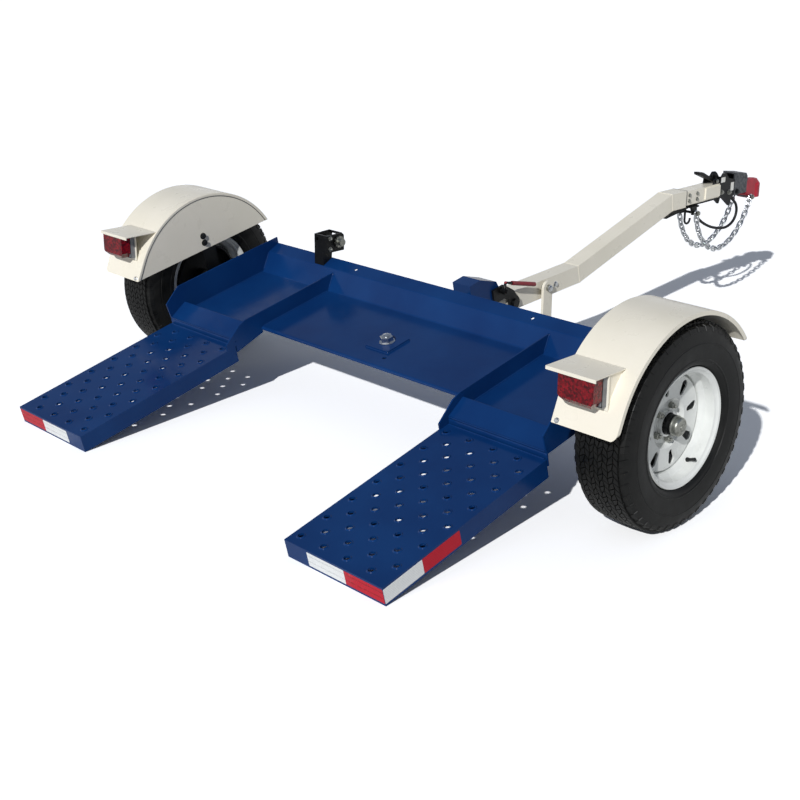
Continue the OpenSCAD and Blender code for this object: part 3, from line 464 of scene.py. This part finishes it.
# wheel furniture, z outwards from the middle of the rim
nutLook = {"count": 5, "circle": 57.15, "seat": 9.0, "cone": [(0, -2.5), (7, -2.5), (10.4, 1.5), (10.4, 3), (0, 3)],
           "across": 19.0, "low": 2.5, "high": 17.0, "crown": 1.3, "shank": 6.2, "end": 24.0}
capLook = {"profile": [(30.2, 49), (33.6, 49), (33.9, 51), (33.2, 53), (31.4, 54), (30.9, 58), (30.8, 64), (29.6, 68.5),
                       (26.2, 71.9), (20.5, 74.0), (12, 74.8), (11.2, 73.6), (9.8, 73.6), (9.2, 75.8), (6, 76.8),
                       (0, 77.0), (0, 72.3), (22.2, 72.3), (30.2, 64.1)]}
valveLook = {"radius": 168.0, "out": 44.0, "angle": 0.35, "turn": 0.45,
             "profile": [(0, 0), (7.5, 0), (7.5, 3), (5.4, 6), (4.6, 20), (4.6, 26), (5.4, 26.4), (5.4, 37),
                         (4.2, 38.4), (0, 38.4)]}


def makeWheelDetails(s):
    side = sideName(s)
    body = side + "_wheel"
    high, r, end = nutLook["high"], nutLook["shank"], nutLook["end"]
    stud = [(0, high - 1), (r, high - 1), (r, high + 1), (r - 0.8, high + 1.6), (r, high + 2.2), (r, high + 3.4),
            (r - 0.8, high + 4), (r, high + 4.6), (r, end - 1), (r - 1.2, end), (0, end)]
    seat = Matrix.Translation((nutLook["circle"], 0, nutLook["seat"]))
    bm = bmesh.new()
    for k in range(nutLook["count"]):
        spot = wheelFrame(s) @ Matrix.Rotation(2 * math.pi * k / nutLook["count"], 4, "Z") @ seat
        lathe(bm, nutLook["cone"], steps=20, closed=False, place=spot)
        hexagon(bm, spot, nutLook["across"], nutLook["low"], high, nutLook["crown"])
        lathe(bm, stud, steps=16, closed=False, place=spot)
    newPiece(bm, side + "LugNuts", body, "zinc", smoothAngle=30)
    bm = bmesh.new()
    lathe(bm, capLook["profile"], closed=False, place=wheelFrame(s))
    newPiece(bm, side + "DustCap", body, "zinc")
    bm = bmesh.new()
    lean = Matrix.Translation((valveLook["radius"], 0, valveLook["out"])) @ Matrix.Rotation(-valveLook["turn"], 4, "Y")
    place = wheelFrame(s) @ (Matrix.Rotation(valveLook["angle"], 4, "Z") @ lean)
    lathe(bm, valveLook["profile"], steps=20, closed=False, place=place)
    newPiece(bm, side + "ValveStem", body, "cable")


for s in (-1, 1):
    makeTyre(s)
    makeWheelDetails(s)
print("wheels done")

# fenders: turned inner flange with a black line at its inner edge for the painted shade in the gap, swaged outer edge,
# bolts; stack is the panel with its bracket
fenderLook = {"steps": 72, "edge": 0.4, "flange": 12.0, "proud": 2.4, "round": 1.1, "seam": 1.5, "gapShadeIn": 13.0,
              "gapShadeBack": 0.3, "swage": 1.1, "swageIn": 15.0, "swageUnder": 1.15, "bolts": [(-19, 186), (-19, 216)],
              "stack": 8.5, "feet": [(1050, -17, 39.0), (1050, 17, 39.0)], "corner": (1082, -367.4, 165.3),
              "cornerFace": (0, -0.829, 0.559)}


def fenderPath(inset, x, s):
    y, z, base, r = fender["y"], fender["z"], fender["base"], fender["radius"] - inset
    first, turn, steps = math.asin((base - z) / r), math.radians(fender["break"]), fenderLook["steps"]
    angles = [first + (turn - first) * k / steps for k in range(steps + 1)]
    path = [(y + r * math.cos(a), z + r * math.sin(a)) for a in angles]
    lastY, lastZ = path[-1]
    drop = (lastZ - base) / math.cos(turn)
    path.append((lastY + drop * math.sin(turn), base))
    return [tiltedFrame(s) @ Vector((x, y, z)) for y, z in path]


def makeFenderDetails(s):
    side, look, face, inner = sideName(s), fenderLook, dolly["fenderIn"], tiltedFrame(s)
    bm = bmesh.new()
    loops = []
    for inset in (look["edge"], look["flange"]):
        ring = [bm.verts.new(p) for p in fenderPath(inset, face, s)]
        loops += [bm.edges.new(pair) for pair in zip(ring, ring[1:])]
    strip = bmesh.ops.bridge_loops(bm, edges=loops)["faces"]
    raised = bmesh.ops.extrude_face_region(bm, geom=strip)["geom"]
    raised = [v for v in raised if isinstance(v, bmesh.types.BMVert)]
    bmesh.ops.translate(bm, verts=raised, vec=(-s * look["proud"] / 1000, 0, 0))
    rounded = [e for e in bm.edges if all(v in raised for v in e.verts)
               and len(e.link_faces) == 2 and e.calc_face_angle() > 1.0]
    bmesh.ops.bevel(bm, geom=rounded, offset=look["round"] / 1000, segments=3, profile=0.5, affect="EDGES", material=-1)
    newPiece(bm, side + "FenderFlange", "chassis", "cream_paint")
    # painted shade: a black line along the flange's inner edge stands for the shade in the gap between flange and panel
    seam = fenderPath(look["gapShadeIn"], face - look["gapShadeBack"], s)
    newRuns(side + "FenderGapShade", "chassis", "black_steel", [seam], {"radius": look["seam"]})
    swage = fenderPath(look["swageUnder"], dolly["halfWidth"] - look["swageIn"], s)
    newRuns(side + "FenderSwage", "chassis", "cream_paint", [swage], {"radius": look["swage"]})
    heads = [inner @ facing((face, y, z), (-1, 0, 0)) for y, z in look["bolts"]]
    newBolts(side + "FenderBolts", "chassis", "black_steel", heads, {"across": 19.0, "high": 10.5})
    ends = [inner @ facing((face + look["stack"], y, z), (1, 0, 0)) for y, z in look["bolts"]]
    thinNut = {"across": 19.0, "high": 6.0}  # clear of the tyre
    newBolts(side + "FenderNuts", "chassis", "black_steel", ends, thinNut)
    corner = inner @ facing(look["corner"], look["cornerFace"])
    newBolts(side + "CornerBolt", "chassis", "plated", [corner], {"across": 12.0, "high": 7.0})
    feet = [inner @ facing(foot, (-1, 0, 0)) for foot in look["feet"]]
    footBolt = {"across": 15.0, "high": 9.0, "shank": 4.6, "end": 15.0}
    newBolts(side + "BracketBolts", "chassis", "plated", feet, footBolt)


for s in (-1, 1):
    makeFenderDetails(s)
print("fenders done")

# reflective tape at the rear corners of the ramps: starts in millimetres from the outer corner
tapeLook = {"length": 160.0, "width": 50.0, "rear": 7.0, "corner": 2.5, "thick": 0.35,
            "runs": [("red", "rear", 1.0), ("white", "rear", 161.5), ("white", "side", 1.0), ("red", "side", 161.5)]}


def makeTape(s):
    look, wide, run = tapeLook, dolly["bedHalf"] - dolly["panIn"], dolly["rampRun"]
    length, width = look["length"], look["width"]
    faces = {"rear": Matrix(((-1, 0, 0, wide), (0, 0, -1, -run), (0, 1, 0, 0), (0, 0, 0, 1))),  # corner inwards
             "side": Matrix(((0, 0, 1, wide), (1, 0, 0, -run), (0, 1, 0, 0), (0, 0, 0, 1)))}  # corner forwards
    for colour in ("red", "white"):
        bm = bmesh.new()
        for tone, face, start in look["runs"]:
            if tone == colour:
                middle = Matrix.Translation((start + length / 2, -look["rear"] - width / 2, 0))
                roundedSlab(bm, rampFrame(s) @ faces[face] @ middle, (length, width), look["corner"], look["thick"])
        slot = "lamp_red" if colour == "red" else "white_rim"
        newPiece(bm, sideName(s) + "Tape" + colour.capitalize(), "bed", slot, tapes[colour])


# kingpin: rounded washer, chamfered nut and threaded end, over part.scad's own sizes
kingLook = {"y": -34.0, "shaft": 14.0, "from": -30.3, "washer": 30.0, "seat": -5.0, "nutAcross": 45.0, "nutTop": 20.0,
            "crown": 2.2, "top": 25.0, "threads": 3, "threadFrom": 5.4, "threadStep": 1.8, "threadDeep": 1.1}


def makeKingpin():
    look = kingLook
    shaft, low, top = look["shaft"], look["from"], look["top"]
    place = tiltedFrame() @ Matrix.Translation((0, look["y"], 0))
    bm = bmesh.new()
    threads = []
    for k in range(look["threads"]):
        z = top - look["threadFrom"] + k * look["threadStep"]
        threads += [(shaft, z), (shaft, z + 0.6), (shaft - look["threadDeep"], z + 1.2)]
    end = [(shaft - 1, top - 0.4), (shaft - 2, top), (0, top)]
    lathe(bm, [(0, low), (shaft, low)] + threads + end, closed=False, place=place)
    r, z = look["washer"], look["seat"]
    washer = [(shaft, z), (r - 0.6, z), (r, z + 0.6), (r, z + 3.0), (r - 1.2, z + 4), (shaft, z + 4)]
    lathe(bm, washer, steps=64, place=place)
    hexagon(bm, place, look["nutAcross"], z + 4, look["nutTop"], look["crown"])
    piece = newPiece(bm, "kingpinNut", "bed", "plated", smoothAngle=30)
    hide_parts("kingpin")


# weld beads that join the bed's sheets, painted over: corners of each bead in the bed's frame
bedWeldLook = {"rear": -312, "innerRear": -170, "front": 174.0, "wallFoot": (187, 9), "outerTop": (230.0, 55.0),
               "innerTop": (222, 46), "outerFrom": 900, "chockFeet": [(-201.5, 0.0), (-314.5, 4.0)], "chockIn": 8,
               "guide": 5.5, "guideBack": 0.5, "lift": 0.5, "rampJoint": (0.2, 0.3), "plateHalf": 58, "plateLift": 0.6}


def makeBedWelds():
    look, floor, panIn, half = bedWeldLook, dolly["floorZ"], dolly["panIn"], dolly["bedHalf"]
    runs = []
    starts = ((panIn + look["guide"], look["rear"]), (panIn - look["guideBack"], look["innerRear"]),
              (half - look["guide"], look["rear"]))
    for s in (-1, 1):
        place = tiltedFrame(s)
        for x, rear in starts:
            runs.append([place @ Vector((x, y, floor + look["lift"])) for y in (rear, look["front"])])
            footY, footUp = look["wallFoot"]
            stop = look["outerTop"] if x > look["outerFrom"] else look["innerTop"]
            runs.append([place @ Vector((x, footY, floor + footUp)), place @ Vector((x, *stop))])
        for y, up in look["chockFeet"]:
            runs.append([place @ Vector((x, y, floor + up)) for x in (panIn + look["chockIn"], half - look["chockIn"])])
        ends = (look["chockIn"], half - panIn - look["chockIn"])
        runs.append([rampFrame(s) @ Vector((x, *look["rampJoint"])) for x in ends])  # ramp to the deck's rear flange
    newRuns("bedWelds", "bed", "blue_paint", runs, weldBead)
    reach = look["plateHalf"]
    corners = ((-reach, -reach), (reach, -reach), (reach, reach), (-reach, reach))
    edge = [tiltedFrame() @ Vector((x, kingLook["y"] + y, floor + look["plateLift"])) for x, y in corners]
    newRuns("kingPlateWeld", "bed", "blue_paint", [edge], dict(weldBead, closed=True))


for s in (-1, 1):
    makeTape(s)
makeKingpin()
makeBedWelds()
print("bed details done")

# lamps: mirrored on the left, sizes in the level frame
lampLook = {"in": 1108.0, "out": 1238.0, "front": -392.0, "top": 597.0, "bottom": 501.0, "plate": -368.0,
            "nutIn": 22.0, "nutDown": 30.0, "boltX": (1104.0, 1179.0, 1254.0), "boltAt": (-266.0, 601.0),
            "lead": [(1150, -368.0, 540), (1149, -346.0, 536), (1144, -328.0, 524), (1136, -322.0, 506)]}


def makeLampDetails(s):
    side, look = sideName(s), lampLook
    place = levelFrame() @ Matrix.Diagonal((s, 1, 1, 1))
    inner, outer, low, high = look["in"] + 1, look["out"] - 1, look["bottom"] + 3, look["top"] - 1
    corners = ((inner, low), (outer, low), (outer, high), (inner, high))
    gasket = [place @ Vector((x, look["front"], z)) for x, z in corners]
    newRuns(side + "LampGasket", "chassis", "cable", [gasket], {"radius": 1.6, "closed": True})
    nutX = (look["in"] + look["nutIn"], look["out"] - look["nutIn"])
    spots = [(x, look["plate"], look["top"] - look["nutDown"]) for x in nutX]
    studNut = {"across": 11.0, "high": 8.0, "shank": 3.0, "end": 16.0}
    newBolts(side + "LampNuts", "chassis", "zinc", [place @ facing(spot, (0, 1, 0)) for spot in spots], studNut)
    heads = [place @ facing((x, *look["boltAt"]), (0, 0, 1)) for x in look["boltX"]]
    newBolts(side + "LampBolts", "chassis", "zinc", heads, {"across": 11.0, "high": 6.5})
    pigtail = [place @ Vector(p) for p in look["lead"]]
    newRuns(side + "LampLead", "chassis", "cable", [pigtail], {"radius": 3.0, "sides": 3})


# the lock handle's black crank, over the red grip's own rod
lockLook = {"x": 70.0, "crank": [(549, -26), (558.9, -5.5), (594, -21.7)], "radius": 6.3, "hubAt": (62.0, 549.0, -38.0),
            "hub": [(7.6, -0.2), (13.6, -0.2), (13.6, 17.2), (12.8, 17.8), (7.6, 17.8)]}


def makeLockCrank():
    place = tiltedFrame()
    bm = bmesh.new()
    lathe(bm, lockLook["hub"], steps=32, place=place @ facing(lockLook["hubAt"], (1, 0, 0)))
    newPiece(bm, "lockHub", "lock", "black_steel")
    crank = [place @ Vector((lockLook["x"], y, z)) for y, z in lockLook["crank"]]
    newRuns("lockCrank", "lock", "black_steel", [crank], {"radius": lockLook["radius"], "sides": 4})


def pairOut(x, spots):  # frames on both sides of the tongue, z outwards
    return [levelFrame() @ facing((s * x, y, z), (s, 0, 0)) for s in (-1, 1) for y, z in spots]


# coupler: (y, z) in the level frame before the shift
bendZ = dolly["bendZ"]
couplerLook = {"x": 32.5, "castX": 34.0, "pinX": 56, "labels": [((2138, 632), (34, 24)), ((2221, 590), (26, 40))],
               "labelCorner": 2.0, "labelThick": 0.4, "sideBolts": [(2128, 575), (2196, 566)], "castBolt": (2262, 560),
               "pins": [(2372, 520), (1908, bendZ - 74.952)], "lever": (2084, bendZ + 46),
               "knobAt": (0, 2150, bendZ + 27), "knobLean": (0, -0.66, 0.75),
               "knob": [(0, 0), (6, 0), (6, 20), (10, 22), (13.5, 26), (13.5, 30), (12.4, 31), (13.5, 32), (13.5, 48),
                        (12.4, 49), (13.5, 50), (13, 60), (9, 66), (0, 68)]}


def makeCouplerDetails():
    look = couplerLook
    bm = bmesh.new()
    for (y, z), size in look["labels"]:
        place = levelFrame() @ facing((look["x"], y, z), (1, 0, 0))
        roundedSlab(bm, place, size, look["labelCorner"], look["labelThick"])
    newPiece(bm, "couplerLabels", "tongue", "white_rim", vinylLabel)
    sideBolt = {"across": 17.0, "high": 10.0, "shank": 4.6, "end": 15.0}
    newBolts("couplerBolts", "tongue", "zinc", pairOut(look["x"], look["sideBolts"]), sideBolt)
    castBolt = {"across": 19.0, "high": 11.5}
    newBolts("castingBolts", "tongue", "black_steel", pairOut(look["castX"], [look["castBolt"]]), castBolt)
    newBolts("chainPinNuts", "tongue", "zinc", pairOut(look["pinX"], look["pins"]), {"across": 17.0, "high": 8.0})
    newBolts("leverPinHeads", "lever", "zinc", pairOut(look["castX"], [look["lever"]]), {"across": 12.0, "high": 5.0})
    bm = bmesh.new()
    lathe(bm, look["knob"], steps=24, closed=False, place=levelFrame() @ facing(look["knobAt"], look["knobLean"]))
    newPiece(bm, "adjusterKnob", "tongue", "black_steel", smoothAngle=40)


# tongue: fold welds as (y, z, fold, half the fold), a black ring painting the shade at the sleeve's end, the clip ahead
# of the stand
tongueLook = {"half": 38.0, "bends": [(1060.0, 382.65, 10.6, 6.6), (1720.0, bendZ, 8.6, 8.6)], "collarY": 1831.0,
              "collar": 37.6, "barX": 24.4, "barY": (1930, 2100), "barDown": 39.0, "clip": (903, 371.5),
              "sleeveX": 32.5, "sleeveY": (1862, 1925), "sleeveUp": (-13, 13), "standPin": (74, 824, 376.15)}
square = ((-1, -1), (1, -1), (1, 1), (-1, 1))


def makeTongueDetails():
    look, half, reach = tongueLook, tongueLook["half"], tongueLook["collar"]
    runs = []
    for y, z, fold, halfFold in look["bends"]:  # mitre of each bend
        turn = math.radians(fold)
        up = Vector((0, -math.sin(turn), math.cos(turn))) * (half / math.cos(math.radians(halfFold)))
        runs.append([levelFrame() @ (Vector((0, y, z)) + Vector((x * half, 0, 0)) + k * up) for x, k in square])
    mitreWeld = {"radius": 1.6, "ripple": 4.0, "sides": 1, "closed": True}
    newRuns("tongueWelds", "tongue", "cream_paint", runs, mitreWeld)
    # painted shade: a black ring round the tube at the end of the sleeve
    collar = [levelPoint(x * reach, look["collarY"], bendZ + z * reach) for x, z in square]
    newRuns("sleeveShadeLine", "tongue", "black_steel", [collar], {"radius": 1.7, "closed": True})
    bar = [[levelPoint(s * look["barX"], y, bendZ - look["barDown"]) for y in look["barY"]] for s in (-1, 1)]
    newRuns("chainBarWelds", "tongue", "black_steel", bar, thinWeld)
    newBolts("tongueClipBolts", "tongue", "plated", pairOut(half, [look["clip"]]), {"across": 17.0, "high": 7.5})
    spots = [(y, bendZ + up) for y in look["sleeveY"] for up in look["sleeveUp"]]
    newBolts("sleeveBolts", "tongue", "zinc", pairOut(look["sleeveX"], spots), {"across": 13.0, "high": 7.0})
    head = [levelFrame() @ facing(look["standPin"], (1, 0, 0))]
    newBolts("standPinHead", "tongue", "plated", head, {"across": 19.0, "high": 9.0})


winchLook = {"faces": [(-42, -1), (36, 1)], "bolts": [(20, 72), (20, 116)]}


def makeWinchDetails():
    here = winchFrame()
    heads = [here @ facing((x, y, z), (out, 0, 0)) for x, out in winchLook["faces"] for y, z in winchLook["bolts"]]
    newBolts("winchBolts", "bed", "zinc", heads, {"across": 13.0, "high": 7.5, "shank": 3.8, "end": 11.0})


for s in (-1, 1):
    makeLampDetails(s)
makeLockCrank()
makeCouplerDetails()
makeTongueDetails()
makeWinchDetails()
print("lamps and coupler done")

# camera: place in metres, turns in degrees, focal length and centre in pixels of the picture
view = {"at": (3.3238, -3.2917, 1.8628), "down": 19.457, "roll": -0.05, "heading": 45.595, "focal": 1326.74,
        "centre": (386.85, 369.41), "pixels": 800, "sensor": 36}
camera = bpy.data.objects.new("camera", bpy.data.cameras.new("camera"))
bpy.context.scene.collection.objects.link(camera)
camera.location = Vector(view["at"]) + Vector((0, dolly["shift"] / 1000, 0))
camera.rotation_euler = [math.radians(turn) for turn in (90 - view["down"], view["roll"], view["heading"])]
camera.data.sensor_width = view["sensor"]
camera.data.lens = view["focal"] / view["pixels"] * view["sensor"]
camera.data.shift_x = (view["pixels"] / 2 - view["centre"][0]) / view["pixels"]
camera.data.shift_y = -(view["pixels"] / 2 - view["centre"][1]) / view["pixels"]
bpy.context.scene.camera = camera

studio = {"sunFrom": (0.329, -0.782, 0.529), "sun": 2.9, "sunAngle": 0.9, "fill": (0.135, 0.15, 0.178, 1),
          "floor": "#f4f4f2", "floorGain": 1.68, "floorHalf": 120,
          "sky": [(0.0, 1.0), (0.12, 1.0), (0.55, (0.20, 0.24, 0.32, 1))]}
sun = bpy.data.objects.new("sun", bpy.data.lights.new("sun", "SUN"))
bpy.context.scene.collection.objects.link(sun)
sun.data.energy = studio["sun"]
sun.data.angle = math.radians(studio["sunAngle"])
sun.rotation_mode = "QUATERNION"
sun.rotation_quaternion = Vector(studio["sunFrom"]).to_track_quat("Z", "Y")

# the world: a white sky where it is seen or mirrored, and a dim blue fill elsewhere
world = bpy.data.worlds.new("studio")
bpy.context.scene.world = world
world.use_nodes = True
tree = world.node_tree
background = tree.nodes["Background"]
rays = addNode(tree, "LightPath").outputs
direct = {0: rays["Is Camera Ray"], 1: rays["Is Transmission Ray"]}
seen = addNode(tree, "Math", {"operation": "MAXIMUM"}, direct).outputs[0]
seen = addNode(tree, "Math", {"operation": "MAXIMUM"}, {0: seen, 1: rays["Is Glossy Ray"]}).outputs[0]
height = addNode(tree, "SeparateXYZ", None, {0: addNode(tree, "TexCoord").outputs["Generated"]}).outputs["Z"]
sky = ramp(tree, height, studio["sky"])
tree.links.new(mixColour(tree, seen, studio["fill"], sky), background.inputs["Color"])

floorMesh = bmesh.new()
bmesh.ops.create_grid(floorMesh, x_segments=1, y_segments=1, size=studio["floorHalf"])
mesh = bpy.data.meshes.new("floor")
floorMesh.to_mesh(mesh)
floorMesh.free()
floor = bpy.data.objects.new("floor", mesh)
bpy.context.scene.collection.objects.link(floor)
material, tree, shader, coord = newMaterial("white studio floor")
setInputs(shader, {"Roughness": 0.9, "Specular IOR Level": 0.0})
seen = addNode(tree, "LightPath").outputs["Is Camera Ray"]
bright = (studio["floorGain"],) * 3 + (1,)
tree.links.new(mixColour(tree, seen, linear(studio["floor"]), bright), shader.inputs["Base Color"])
below = addNode(tree, "NewGeometry").outputs["Backfacing"]  # clear from below, so that the underside can be seen
clear = addNode(tree, "BsdfTransparent").outputs["BSDF"]
both = addNode(tree, "MixShader", None, {0: below, 1: shader.outputs["BSDF"], 2: clear}).outputs["Shader"]
tree.links.new(both, tree.nodes["Material Output"].inputs["Surface"])
mesh.materials.append(material)

bpy.context.scene.view_settings.view_transform = "Standard"
print("scene ready")
